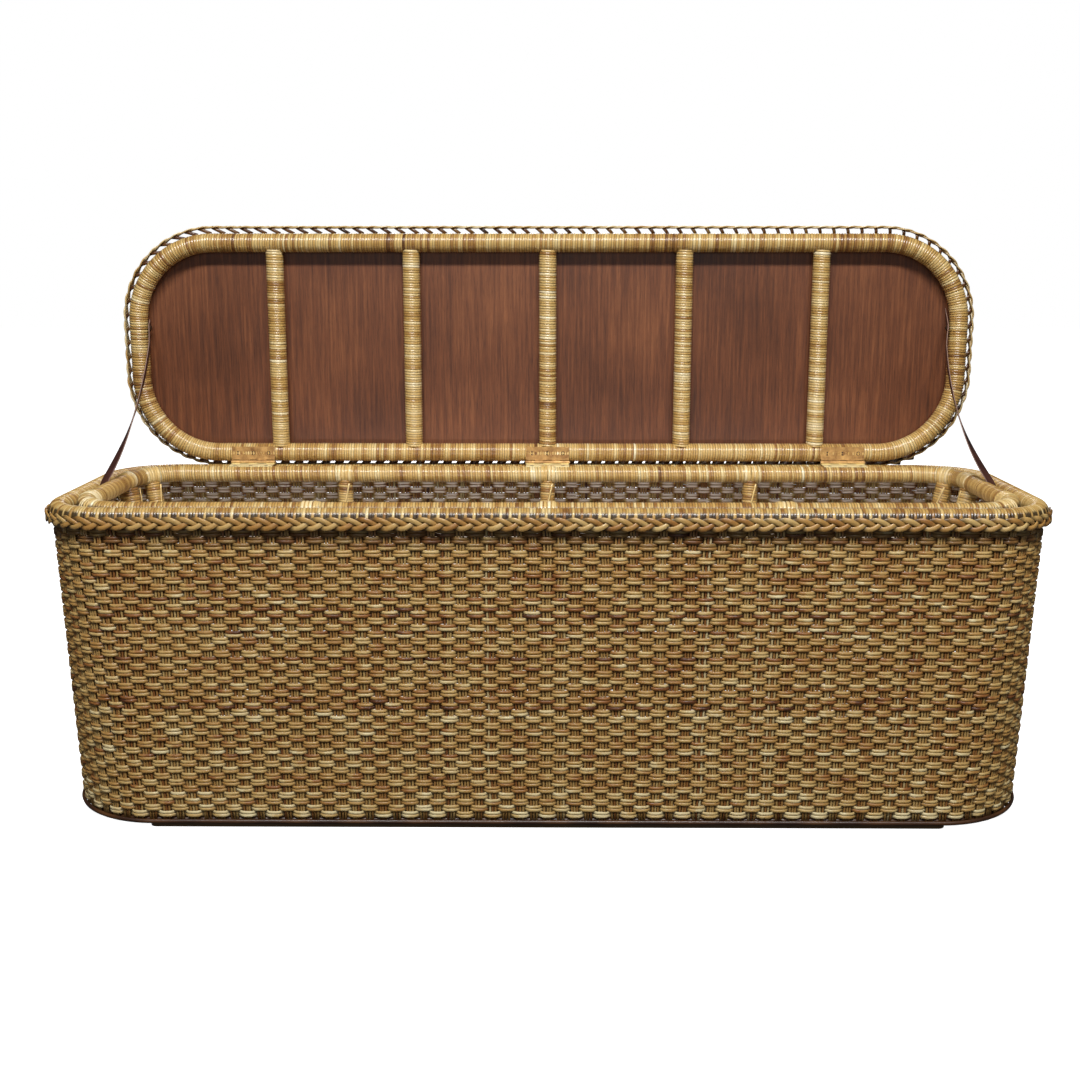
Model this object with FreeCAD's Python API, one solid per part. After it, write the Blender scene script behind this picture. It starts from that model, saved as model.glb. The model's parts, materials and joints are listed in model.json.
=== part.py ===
import FreeCAD, Part
import math
import os

# Wicker storage trunk with its hinged lid standing open on two leather straps.
# Millimetres. +X runs along the trunk, +Y to its back, +Z up. The origin is the centre of its base.

V = FreeCAD.Vector
X_AXIS = V(1, 0, 0)
Z_AXIS = V(0, 0, 1)

# Driving dimensions of the body
TRUNK_WIDTH = 1300.0          # over the rim braid
TRUNK_DEPTH = 380.0
RIM_HEIGHT = 424.0            # to the top of the rim poles
RIM_CORNER = 96.0             # corner radius over the rim braid
WALL_INSET = 7.0              # braid's outer edge to the wall's outer face
WALL_THICKNESS = 10.0
FOOT_CORNER = 130.0           # the upright wall's corners open out towards its foot
RUNNER_HEIGHT = 6.0
RUNNER_WIDTH = 22.0
RUNNER_LENGTH = 1040.0
RUNNER_INSET = 5.0            # wall's outer face to the runner's side
BOARD_THICKNESS = 8.0

# Cane-wrapped rattan poles
OUTER_POLE = 12.5             # radii
INNER_POLE = 12.0
POST_RADIUS = 11.0
BASE_POLE = 6.5
OUTER_RING_INSET = 17.5       # braid's outer edge to the outer pole's centre line
INNER_RING_INSET_X = 47.0     # the inner ring leaves a gap at the trunk's ends for the straps
INNER_RING_INSET_Y = 45.0
INNER_RING_RISE = 2.0         # how far the inner ring stands above the outer
INNER_RING_CORNER = 66.0
POST_SPACING = 300.0          # along the front and the back
END_POST_OFFSET = 72.0        # from the middle of an end
POST_RAKE = 10.0              # degrees: how far the corner and end posts lean to the middle
POST_FIT = 0.2

BRAID_HEIGHT = 18.0
BRAID_THICKNESS = 5.0
BRAID_DROP = 9.0              # rim top to the braid's top edge

# Lid
LID_WIDTH = 1260.0            # over the lid's braid
LID_DEPTH = 354.0
LID_CORNER = 138.0
LID_POLE = 13.5
LID_RING_INSET_X = 25.5       # lid braid's outer edge to the pole's centre line, at the lid's ends
LID_RING_INSET_FRONT = 25.0
LID_RING_INSET_REAR = 22.0
LID_RING_CORNER = 113.0
LID_LEAN = 1.5                # degrees past upright when open
CROSSBAR_RADIUS = 12.5
CROSSBAR_COUNT = 5
CROSSBAR_SPACING = 200.0
PANEL_THICKNESS = 5.0
PANEL_INSET = 2.0             # pole's outer edge to the panel's
SKIN_THICKNESS = 9.0
LID_BRAID_HEIGHT = 16.0
LID_BRAID_THICKNESS = 4.5
LID_BRAID_RISE = 3.0          # how far the braid stands above the panel's outer face
TIE_COUNT = 48                # canes that tie the lid's braid to its pole, with gaps between them
TIE_RADIUS = 1.2
TIE_DEPTH = 1.5               # how far below the braid's middle they cross

# Brass butt hinges
HINGE_SPACING = 440.0
HINGE_LENGTH = 64.0
LEAF_WIDTH = 23.0             # from the pin
LEAF_THICKNESS = 1.2
BARREL_RADIUS = 3.0
PIN_RADIUS = 1.5
PIN_CLEARANCE = 0.05
KNUCKLES = 5
KNUCKLE_GAP = 0.3
SCREW_SPACING = 23.0
SCREW_HEAD = 3.0
SCREW_SHANK = 1.6
SCREW_LENGTH = 12.0
SCREW_SLOT = 0.6
RECESS_FIT = 0.2              # clearance round a leaf let into a pole

# Leather straps and their studs
STRAP_WIDTH = 16.0
STRAP_THICKNESS = 2.0
STRAP_SAG = 10.0
STRAP_REACH = 198.0           # from the hinge line to the stud, along the lid
STRAP_DEPTH = 16.0            # inner ring's top down to the stud between the rim poles
STRAP_SECTIONS = 8
STRAP_GAP = 0.4
STUD_HEAD = 4.5
STUD_HEAD_THICKNESS = 2.0
STUD_SHANK = 1.5
STUD_LENGTH = 9.0

# Derived places
HALF_WIDTH = TRUNK_WIDTH / 2
HALF_DEPTH = TRUNK_DEPTH / 2
OUTER_RING_Y = HALF_DEPTH - OUTER_RING_INSET
INNER_RING_X = HALF_WIDTH - INNER_RING_INSET_X
INNER_RING_Y = HALF_DEPTH - INNER_RING_INSET_Y
INNER_RING_TOP = RIM_HEIGHT + INNER_RING_RISE
INNER_RING_Z = INNER_RING_TOP - INNER_POLE
WALL_TOP = RIM_HEIGHT - 1.6 * OUTER_POLE
BOARD_TOP = RUNNER_HEIGHT + BOARD_THICKNESS
LEAF_LET_IN = 0.5
AXIS_Y = OUTER_RING_Y - 8.5
AXIS_Z = INNER_RING_TOP - LEAF_LET_IN + BARREL_RADIUS
LID_REAR = AXIS_Y + LID_RING_INSET_REAR - LID_POLE     # the closed lid's back edge
LID_CENTRE_Y = LID_REAR - LID_DEPTH / 2
LID_RING_X = LID_WIDTH / 2 - LID_RING_INSET_X
LID_RING_Y = (LID_DEPTH - LID_RING_INSET_FRONT - LID_RING_INSET_REAR) / 2
LID_RING_CENTRE_Y = LID_REAR - LID_RING_INSET_REAR - LID_RING_Y
LID_FACE = AXIS_Z + BARREL_RADIUS / 2              # underside of the closed lid's ring
LID_RING_Z = LID_FACE + LID_POLE
PANEL_Z = LID_FACE + 2 * LID_POLE
SKIN_Z = PANEL_Z + PANEL_THICKNESS
HINGE_PLACES = {"left": -HINGE_SPACING, "centre": 0.0, "right": HINGE_SPACING}
SIDES = {"left": -1, "right": 1}


def rounded_wire(half_x, half_y, radius, z, centre_y=0.0):
    """A rounded rectangle in a level plane, anticlockwise from its right-hand end."""
    corners = [(1, 1, 0), (-1, 1, 90), (-1, -1, 180), (1, -1, 270)]
    edges = []
    last = V(half_x, centre_y - half_y + radius, z)
    for sign_x, sign_y, start in corners:
        middle = V(sign_x * (half_x - radius), centre_y + sign_y * (half_y - radius), z)
        points = []
        for angle in (start, start + 45, start + 90):
            turn = math.radians(angle)
            points.append(middle + V(radius * math.cos(turn), radius * math.sin(turn), 0))
        edges.append(Part.LineSegment(last, points[0]).toShape())
        edges.append(Part.Arc(*points).toShape())
        last = points[2]
    return Part.Wire(edges)


def slab(half_x, half_y, radius, low, high, centre_y=0.0):
    """A flat rounded rectangle between two heights."""
    face = Part.Face(rounded_wire(half_x, half_y, radius, low, centre_y))
    return face.extrude(V(0, 0, high - low))


def band(half_x, half_y, radius, width, low, high, centre_y=0.0):
    """A flat-sided band whose outer outline is a rounded rectangle."""
    outer = slab(half_x, half_y, radius, low, high, centre_y)
    inner = slab(half_x - width, half_y - width, radius - width, low, high, centre_y)
    return outer.cut(inner)


def pole_ring(half_x, half_y, radius, z, pole, centre_y=0.0):
    """A round pole bent into a rounded rectangle: four straights and four quarter bends."""
    pieces = []
    for sign in (1, -1):
        straight = half_x - radius
        start = V(-straight, centre_y + sign * half_y, z)
        pieces.append(Part.makeCylinder(pole, 2 * straight, start, X_AXIS))
        straight = half_y - radius
        start = V(sign * half_x, centre_y - straight, z)
        pieces.append(Part.makeCylinder(pole, 2 * straight, start, V(0, 1, 0)))
    for sign_x, sign_y, start in ((1, 1, 0), (-1, 1, 90), (-1, -1, 180), (1, -1, 270)):
        middle = V(sign_x * (half_x - radius), centre_y + sign_y * (half_y - radius), z)
        section = Part.Wire(Part.makeCircle(pole, middle + V(radius, 0, 0), V(0, 1, 0)))
        bend = Part.Face(section).revolve(middle, Z_AXIS, 90)
        bend.rotate(middle, Z_AXIS, start)
        pieces.append(bend)
    return pieces[0].multiFuse(pieces[1:]).removeSplitter()


def wall_outline(z, inset):
    """Half sizes and corner radius of the wall at a height, set in from its outer face."""
    share = (z - RUNNER_HEIGHT) / (WALL_TOP - RUNNER_HEIGHT)
    corner = FOOT_CORNER + (RIM_CORNER - WALL_INSET - FOOT_CORNER) * share
    inward = WALL_INSET + inset
    return HALF_WIDTH - inward, HALF_DEPTH - inward, corner - inset


def wall_loft(low, high, inset):
    """The solid inside the wall's outline between two heights."""
    wires = [rounded_wire(*wall_outline(z, inset), z) for z in (low, high)]
    return Part.makeLoft(wires, True, True)


def pole(start, end, radius):
    """A straight round pole between two points."""
    along = end - start
    return Part.makeCylinder(radius, along.Length, start, along)


def opened(shape):
    """Turns a piece of the closed, level lid about the hinge line to where it stands open."""
    turned = shape.copy()
    turned.rotate(V(0, AXIS_Y, AXIS_Z), X_AXIS, -(90 + LID_LEAN))
    return turned


def opened_point(point):
    return opened(Part.Vertex(point)).Vertexes[0].Point


def post_tops():
    """Where each post meets the inner rim pole, with the direction in which it leans."""
    places = {}
    for side, sign in (("front", -1), ("back", 1)):
        for name, x in (("left", -POST_SPACING), ("centre", 0.0), ("right", POST_SPACING)):
            places[f"post_{side}_{name}"] = (x, sign * INNER_RING_Y, 0)
    reach = INNER_RING_CORNER * (1 - math.sqrt(0.5))
    for side, sign in SIDES.items():
        for end, turn in (("front", -1), ("back", 1)):
            corner = (sign * (INNER_RING_X - reach), turn * (INNER_RING_Y - reach), -sign)
            places[f"post_corner_{end}_{side}"] = corner
            middle = (sign * INNER_RING_X, turn * END_POST_OFFSET, -sign)
            places[f"post_end_{end}_{side}"] = middle
    return places


def posts(ring):
    """The upright and raked posts between the bottom board and the inner rim pole."""
    made = {}
    for name, (x, y, lean) in post_tops().items():
        fall = INNER_RING_Z - BOARD_TOP
        foot = V(x + lean * fall * math.tan(math.radians(POST_RAKE)), y, BOARD_TOP)
        top = V(x, y, INNER_RING_Z)
        below = foot + (foot - top) * 0.1
        post = pole(below, top, POST_RADIUS).cut(ring)
        ground = Part.makeBox(TRUNK_WIDTH, TRUNK_DEPTH, RIM_HEIGHT, V(-HALF_WIDTH, -HALF_DEPTH, BOARD_TOP))
        made[name] = largest(post.common(ground))
    return made


def largest(shape):
    return max(shape.Solids, key=lambda solid: solid.Volume)


def leaf(x, outward, fixed):
    """A hinge leaf with its knuckles, lying towards the front. outward is 1 for the lid's, -1 for the body's."""
    far = AXIS_Y - LEAF_WIDTH
    near = AXIS_Y - BARREL_RADIUS - 2 * KNUCKLE_GAP
    face = BARREL_RADIUS - LEAF_THICKNESS if outward > 0 else -BARREL_RADIUS
    low = AXIS_Z + face
    left = x - HINGE_LENGTH / 2
    made = Part.makeBox(HINGE_LENGTH, near - far, LEAF_THICKNESS, V(left, far, low))
    step = HINGE_LENGTH / KNUCKLES
    for knuckle in range(fixed, KNUCKLES, 2):
        start = left + knuckle * step + KNUCKLE_GAP / 2
        length = step - KNUCKLE_GAP
        tab = Part.makeBox(length, AXIS_Y - near, LEAF_THICKNESS, V(start, near, low))
        barrel = Part.makeCylinder(BARREL_RADIUS, length, V(start, AXIS_Y, AXIS_Z), X_AXIS)
        made = made.fuse(tab).fuse(barrel)
    bore = Part.makeCylinder(PIN_RADIUS + PIN_CLEARANCE, HINGE_LENGTH, V(left, AXIS_Y, AXIS_Z), X_AXIS)
    return made.cut(bore).removeSplitter()


def hinge_pin(x):
    """The pin, with a low head at each end."""
    left = x - HINGE_LENGTH / 2
    head_length = 1.0
    head_radius = 2.4
    shaft = Part.makeCylinder(PIN_RADIUS, HINGE_LENGTH, V(left, AXIS_Y, AXIS_Z), X_AXIS)
    first = Part.makeCylinder(head_radius, head_length, V(left - head_length, AXIS_Y, AXIS_Z), X_AXIS)
    second = Part.makeCylinder(head_radius, head_length, V(left + HINGE_LENGTH, AXIS_Y, AXIS_Z), X_AXIS)
    return shaft.fuse([first, second]).removeSplitter()


def leaf_recess(x, low, height):
    """The pocket that a leaf takes out of the pole under it."""
    far = AXIS_Y - LEAF_WIDTH - RECESS_FIT
    size = (HINGE_LENGTH + 2 * RECESS_FIT, LEAF_WIDTH, height)
    return Part.makeBox(*size, V(x - HINGE_LENGTH / 2 - RECESS_FIT, far, low))


def countersunk_screw(place, direction):
    """A slotted screw, upright or upside down, with its head flush in the leaf."""
    head = Part.makeCone(SCREW_HEAD, SCREW_SHANK, LEAF_THICKNESS, place, direction)
    shank = Part.makeCylinder(SCREW_SHANK, SCREW_LENGTH, place, direction)
    corner = place - V(SCREW_HEAD, SCREW_SLOT / 2, SCREW_SLOT / 2)
    slot = Part.makeBox(2 * SCREW_HEAD, SCREW_SLOT, SCREW_SLOT, corner)
    return head.fuse(shank).removeSplitter().cut(slot)


def leaf_screws(y, z, direction):
    """Three screws for each hinge leaf on one side of the hinges."""
    made = []
    for x in HINGE_PLACES.values():
        for step in (-1, 0, 1):
            made.append(countersunk_screw(V(x + step * SCREW_SPACING, y, z), direction))
    return made


def stud(face, direction):
    """A domed stud that goes through a strap into a pole. face is the strap's near face."""
    base = face - direction * STUD_HEAD_THICKNESS
    head = Part.makeCone(STUD_HEAD * 0.6, STUD_HEAD, STUD_HEAD_THICKNESS, base, direction)
    shank = Part.makeCylinder(STUD_SHANK, STUD_LENGTH, face, direction)
    return head.fuse(shank).removeSplitter()


def strap_ends(sign):
    """The strap's stud points on the lid and between the rim poles."""
    lid_x = LID_RING_X - LID_POLE - STRAP_GAP - STRAP_THICKNESS / 2
    rim_x = INNER_RING_X + INNER_POLE + STRAP_GAP + STRAP_THICKNESS / 2
    top = opened_point(V(sign * lid_x, AXIS_Y - STRAP_REACH, LID_RING_Z))
    return top, V(sign * rim_x, 0, INNER_RING_TOP - STRAP_DEPTH)


def strap(sign):
    """A flat strap that hangs in a shallow curve from the lid's stud to the rim's."""
    top, bottom = strap_ends(sign)
    chord = bottom - top
    across = V(0, -chord.z, chord.y).normalize() * (STRAP_WIDTH / 2)
    past_stud = 0.03
    sections = []
    for step in range(STRAP_SECTIONS + 1):
        share = -past_stud + (1 + 2 * past_stud) * step / STRAP_SECTIONS
        # The ends lie flat on their poles, and the strap crosses from one to the other between them.
        cross = min(max((share - 0.1) / 0.8, 0), 1)
        middle = top + chord * share
        middle.x = top.x + chord.x * cross
        middle.z -= STRAP_SAG * 4 * share * (1 - share)
        half = V(STRAP_THICKNESS / 2, 0, 0)
        corners = [middle - across - half, middle + across - half, middle + across + half, middle - across + half]
        sections.append(Part.makePolygon(corners + corners[:1]))
    return Part.makeLoft(sections, True, True)


def build_body():
    """Everything that stays still: base, wall, rim, posts and the body's half of the hinges."""
    nodes = {}
    long_y = HALF_DEPTH - WALL_INSET - RUNNER_INSET - RUNNER_WIDTH / 2
    for name, y in (("front", -long_y), ("middle", 0.0), ("back", long_y)):
        runner = slab(RUNNER_LENGTH / 2, RUNNER_WIDTH / 2, RUNNER_WIDTH * 0.45, 0, RUNNER_HEIGHT, y)
        nodes[f"base_runner_{name}"] = runner
    nodes["bottom_board"] = wall_loft(RUNNER_HEIGHT, BOARD_TOP, WALL_THICKNESS)
    ring_z = BOARD_TOP + BASE_POLE
    foot_x, foot_y, foot_corner = wall_outline(ring_z, WALL_THICKNESS + BASE_POLE + POST_FIT)
    nodes["base_ring"] = pole_ring(foot_x, foot_y, foot_corner, ring_z, BASE_POLE)

    outer_x = HALF_WIDTH - OUTER_RING_INSET
    outer_corner = RIM_CORNER - OUTER_RING_INSET
    outer_ring = pole_ring(outer_x, OUTER_RING_Y, outer_corner, RIM_HEIGHT - OUTER_POLE, OUTER_POLE)
    inner_ring = pole_ring(INNER_RING_X, INNER_RING_Y, INNER_RING_CORNER, INNER_RING_Z, INNER_POLE)
    wall = wall_loft(RUNNER_HEIGHT, WALL_TOP, 0).cut(wall_loft(RUNNER_HEIGHT, WALL_TOP, WALL_THICKNESS))
    nodes["woven_wall"] = largest(wall.cut(outer_ring))
    nodes["outer_rim_ring"] = outer_ring
    low = RIM_HEIGHT - BRAID_DROP - BRAID_HEIGHT
    high = RIM_HEIGHT - BRAID_DROP
    nodes["rim_braid"] = band(HALF_WIDTH, HALF_DEPTH, RIM_CORNER, BRAID_THICKNESS, low, high)
    nodes.update(posts(inner_ring))

    screws = leaf_screws(INNER_RING_Y, AXIS_Z - BARREL_RADIUS + LEAF_THICKNESS, V(0, 0, -1))
    screw_group = Part.makeCompound(screws)
    for name, x in HINGE_PLACES.items():
        nodes[f"hinge_body_leaf_{name}"] = leaf(x, -1, 0).cut(screw_group)
        nodes[f"hinge_pin_{name}"] = hinge_pin(x)
        inner_ring = inner_ring.cut(leaf_recess(x, INNER_RING_TOP - LEAF_LET_IN, 2 * LEAF_LET_IN))
    nodes["hinge_body_screws"] = screw_group

    studs = []
    for sign in SIDES.values():
        face = strap_ends(sign)[1] + V(sign * STRAP_THICKNESS / 2, 0, 0)
        studs.append(stud(face, V(-sign, 0, 0)))
    nodes["rim_strap_studs"] = Part.makeCompound(studs)
    nodes["inner_rim_ring"] = inner_ring.cut(screw_group).cut(nodes["rim_strap_studs"])
    return nodes


def braid_ties(z, ring, braid):
    """Short canes from the inside of the lid's braid to its pole, evenly spaced round the lid."""
    inset = LID_BRAID_THICKNESS
    size = (LID_WIDTH / 2 - inset, LID_DEPTH / 2 - inset, LID_CORNER - inset)
    border = rounded_wire(*size, z, LID_CENTRE_Y)
    ties = []
    for point, along in border_points(border, TIE_COUNT):
        inward = Z_AXIS.cross(along)
        tie = pole(point, point + inward * (LID_RING_INSET_X - inset), TIE_RADIUS).cut([ring, braid])
        # A tie ends on the near side of the pole.
        ties.append(min(tie.Solids, key=lambda solid: solid.CenterOfMass.distanceToPoint(point)))
    return Part.makeCompound(ties)


def border_points(wire, count):
    """Evenly spaced points of a wire, each with the wire's direction there."""
    found = []
    points = wire.discretize(Number=2 * count + 1)
    for index in range(1, 2 * count, 2):
        along = (points[index + 1] - points[index - 1]).normalize()
        found.append((points[index], along))
    return found


def build_lid():
    """The lid's pieces, closed and level, before the lid is opened."""
    nodes = {}
    half_x = LID_WIDTH / 2
    half_y = LID_DEPTH / 2
    centre_y = LID_RING_CENTRE_Y
    ring = pole_ring(LID_RING_X, LID_RING_Y, LID_RING_CORNER, LID_RING_Z, LID_POLE, centre_y)
    for number in range(CROSSBAR_COUNT):
        x = (number - (CROSSBAR_COUNT - 1) / 2) * CROSSBAR_SPACING
        start = V(x, centre_y - LID_RING_Y, LID_RING_Z)
        end = V(x, centre_y + LID_RING_Y, LID_RING_Z)
        nodes[f"lid_crossbar_{number + 1}"] = largest(pole(start, end, CROSSBAR_RADIUS).cut(ring))
    reach = LID_POLE - PANEL_INSET
    size = (LID_RING_X + reach, LID_RING_Y + reach, LID_RING_CORNER + reach)
    nodes["lid_panel"] = slab(*size, PANEL_Z, SKIN_Z, centre_y)
    size = (LID_RING_X + LID_POLE, LID_RING_Y + LID_POLE, LID_RING_CORNER + LID_POLE)
    skin = slab(*size, SKIN_Z, SKIN_Z + SKIN_THICKNESS, centre_y)
    top_edges = [edge for edge in skin.Edges if edge.BoundBox.ZMin > SKIN_Z + SKIN_THICKNESS - 0.1]
    nodes["lid_woven_top"] = skin.makeFillet(SKIN_THICKNESS * 0.5, top_edges)
    high = SKIN_Z + LID_BRAID_RISE
    low = high - LID_BRAID_HEIGHT
    size = (half_x, half_y, LID_CORNER)
    nodes["lid_braid"] = band(*size, LID_BRAID_THICKNESS, low, high, LID_CENTRE_Y)
    nodes["lid_braid_ties"] = braid_ties((low + high) / 2 - TIE_DEPTH, ring, nodes["lid_braid"])

    screw_y = AXIS_Y - LID_POLE
    screws = leaf_screws(screw_y, AXIS_Z + BARREL_RADIUS - LEAF_THICKNESS, Z_AXIS)
    screw_group = Part.makeCompound(screws)
    for name, x in HINGE_PLACES.items():
        nodes[f"hinge_lid_leaf_{name}"] = leaf(x, 1, 1).cut(screw_group)
        recess = leaf_recess(x, LID_FACE - 1, BARREL_RADIUS / 2 + 1)
        ring = ring.cut(recess)
        for bar in [node for node in nodes if node.startswith("lid_crossbar")]:
            nodes[bar] = largest(nodes[bar].cut(recess))
    nodes["hinge_lid_screws"] = screw_group
    nodes["lid_ring"] = ring.cut(screw_group)
    return {name: opened(shape) for name, shape in nodes.items()}


def build_straps(body, lid):
    """The straps, with the lid's studs through them and the poles drilled for the studs."""
    nodes = {}
    lid_studs = []
    clear_studs = []
    for sign in SIDES.values():
        face = strap_ends(sign)[0] - V(sign * (STRAP_THICKNESS / 2 + STRAP_GAP), 0, 0)
        lid_studs.append(stud(face, V(sign, 0, 0)))
        hole = STUD_SHANK + STRAP_GAP / 2
        clear_studs.append(Part.makeCylinder(hole, STUD_LENGTH, face, V(sign, 0, 0)))
    nodes["lid_strap_studs"] = Part.makeCompound(lid_studs)
    lid["lid_ring"] = lid["lid_ring"].cut(nodes["lid_strap_studs"])
    for side, sign in SIDES.items():
        made = strap(sign).cut(Part.makeCompound(clear_studs)).cut(body["rim_strap_studs"])
        nodes[f"strap_{side}"] = largest(made)
    return nodes


def write(nodes):
    """Writes each node's STEP file and prints what it holds."""
    os.makedirs("parts", exist_ok=True)
    for name, shape in sorted(nodes.items()):
        shape.exportStep(f"parts/{name}.step")
        box = shape.BoundBox
        print(f"{name}: {len(shape.Solids)} solids, valid {shape.isValid()}, {shape.Volume / 1000:.1f} cm3, "
              f"x {box.XMin:.1f}..{box.XMax:.1f} y {box.YMin:.1f}..{box.YMax:.1f} z {box.ZMin:.1f}..{box.ZMax:.1f}")


body_nodes = build_body()
lid_nodes = build_lid()
strap_nodes = build_straps(body_nodes, lid_nodes)
write({**body_nodes, **lid_nodes, **strap_nodes})
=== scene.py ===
"""A cane-woven storage trunk, its lid open: woven walls, wrapped poles, plaited borders and leather straps.

Lengths are in metres. The trunk's pieces are made where they are. The lid's pieces are made on the
closed, level lid, and then turned about the hinge line to where the lid stands open.
"""
import json
import math
from collections import namedtuple

import bpy
import numpy as np
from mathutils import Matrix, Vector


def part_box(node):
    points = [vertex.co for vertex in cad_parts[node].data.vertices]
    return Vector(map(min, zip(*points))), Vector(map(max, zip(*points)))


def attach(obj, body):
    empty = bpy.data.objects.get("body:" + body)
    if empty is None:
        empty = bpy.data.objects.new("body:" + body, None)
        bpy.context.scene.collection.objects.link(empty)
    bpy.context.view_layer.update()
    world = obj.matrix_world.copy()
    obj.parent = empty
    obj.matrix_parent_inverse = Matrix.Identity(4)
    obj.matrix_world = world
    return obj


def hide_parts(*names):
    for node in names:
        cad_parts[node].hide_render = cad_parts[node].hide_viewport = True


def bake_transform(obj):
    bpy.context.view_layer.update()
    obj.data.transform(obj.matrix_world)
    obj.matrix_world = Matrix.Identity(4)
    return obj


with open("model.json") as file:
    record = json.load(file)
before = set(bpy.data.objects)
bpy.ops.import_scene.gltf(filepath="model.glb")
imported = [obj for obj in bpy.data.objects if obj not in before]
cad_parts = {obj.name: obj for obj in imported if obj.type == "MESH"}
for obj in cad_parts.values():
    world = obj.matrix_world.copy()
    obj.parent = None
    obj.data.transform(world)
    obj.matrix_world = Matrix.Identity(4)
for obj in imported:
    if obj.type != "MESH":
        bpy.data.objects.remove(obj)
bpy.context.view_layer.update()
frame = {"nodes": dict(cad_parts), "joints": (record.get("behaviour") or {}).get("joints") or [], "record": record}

rng = np.random.default_rng(11)
HINGE = frame["joints"][0]
HINGE_POINT = np.array(HINGE["pos_m"])
OPEN_ANGLE = -math.radians(HINGE["range_deg"][1])
UP = np.array([0.0, 0.0, 1.0])

# Weave
COLUMN_PITCH = 0.0179         # one column is three stakes side by side
ROW_PITCH = 0.0087            # one row is a pair of weavers
WEAVER_WIDTH = 0.0046
WEAVER_THICKNESS = 0.0020
WEAVER_APART = 0.00218        # from a row's middle to each weaver of its pair
WEAVE_DEPTH = 0.0026          # how far weavers pass in front of and behind the weave's middle
STAKE_WIDTH = 0.0030
STAKE_THICKNESS = 0.0027
STAKE_APART = 0.0036
SAMPLES = 6                   # stations of a weaver per column
WALL_THICKNESS = 0.010
FIRST_ROW_RISE = 0.0085       # the weave starts this far above the wall's foot
LAST_ROW_DROP = 0.006         # and ends this far below its top
WEAVER_BANDS = 6              # the rows are shared out between this many pieces
SHADE_DEPTH = 0.034           # painted shadow: the rows this close under the rim are painted darker, as in the rim's shadow
SHADE_FADE = 0.008

# Cane wrapping
WRAP_PITCH = 0.0037
# Each station: share of the wrap, lift, and painted shade; the groove between wraps is painted dark as shade.
WRAP_STATIONS = ((0.0, -0.0007, 1.0), (0.2, 0.0, 0.1), (0.5, 0.00025, 0.0), (0.8, 0.0, 0.1))
SADDLE_LIFT = 0.0011          # how far the canes over a post's top stand out from the ring
SADDLE_REACH = 0.0125         # from the post's top, along the ring
BINDING_PLACES = (-0.0075, -0.0025, 0.0025, 0.0075)
BINDING_WIDTH = 0.0044
BINDING_THICKNESS = 0.0018
POST_CANE_WIDTH = 0.0026
POST_CANE_THICKNESS = 0.0014

# Plaits
RIM_PLAIT_PERIOD = 0.0555
LID_PLAIT_PERIOD = 0.0620
PLAIT_STATIONS = 24           # per period
TIE_WIDTH = 0.0048
REAR_TIE_WIDTH = 0.0132       # the ties beside the hinges are wider
TIE_THICKNESS = 0.0018

# The lid's woven top
LID_WEAVE_DROP = 0.0042       # the weave's middle, below the top of the lid
LID_WEAVE_MARGIN = 0.006
EDGE_DIP = 0.004              # how far the strands turn down at the lid's edge
EDGE_DIP_LENGTH = 0.006

# Straps
STRAP_STATIONS = 60
STRAP_WIDTH = 0.016
STRAP_THICKNESS = 0.002
STRAP_SAG = 0.010
STRAP_TWIST = math.radians(50)
STRAP_LEAN = math.radians(10)

Loop = namedtuple("Loop", "half_x half_y corner centre_y")


def unit(vectors):
    return vectors / np.linalg.norm(vectors, axis=-1, keepdims=True)


def opened(points):
    """Turns points of the closed lid to where the lid stands open."""
    return turned(points, OPEN_ANGLE)


def turned(points, angle):
    """Turns points about the hinge line, which runs along X."""
    cosine, sine = math.cos(angle), math.sin(angle)
    turn = np.array([[1, 0, 0], [0, cosine, -sine], [0, sine, cosine]])
    return (points - HINGE_POINT) @ turn.T + HINGE_POINT


# ---------------------------------------------------------------- sizes from the CAD nodes

def vertices(node):
    """A CAD node's vertices. A lid node's are turned back to the closed lid."""
    mesh = frame["nodes"][node].data
    found = np.empty(len(mesh.vertices) * 3)
    mesh.vertices.foreach_get("co", found)
    found = found.reshape(-1, 3)
    return turned(found, -OPEN_ANGLE) if node in frame["record"]["behaviour"]["bodies"]["lid"] else found


def rounded_loop(points):
    """The rounded rectangle that holds points, seen from above."""
    low, high = points.min(axis=0), points.max(axis=0)
    half_x, half_y = (high - low)[:2] / 2
    centre_y = (high + low)[1] / 2
    reach = (np.abs(points[:, 0]) + np.abs(points[:, 1] - centre_y)).max()
    corner = (half_x + half_y - reach) / (2 - math.sqrt(2))
    return Loop(half_x, half_y, corner, centre_y)


def grown(loop, by):
    return Loop(loop.half_x + by, loop.half_y + by, loop.corner + by, loop.centre_y)


def ring_of(node):
    """A pole ring's centre line, height and pole radius."""
    points = vertices(node)
    low, high = points[:, 2].min(), points[:, 2].max()
    radius = (high - low) / 2
    return grown(rounded_loop(points), -radius), (low + high) / 2, radius


def pole_of(node, axis):
    """The two ends of a straight pole's centre line, by its longer axis, and its radius."""
    points = vertices(node)
    middle = (points[:, axis].min() + points[:, axis].max()) / 2
    first = points[points[:, axis] < middle].mean(axis=0)
    second = points[points[:, axis] >= middle].mean(axis=0)
    along = unit(second - first)
    offset = points - first
    radius = np.linalg.norm(offset - np.outer(offset @ along, along), axis=1).max()
    return first, second, radius


# ---------------------------------------------------------------- curves and meshes

def loop_length(loop):
    return 4 * (loop.half_x + loop.half_y) - 8 * loop.corner + 2 * math.pi * loop.corner


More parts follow.
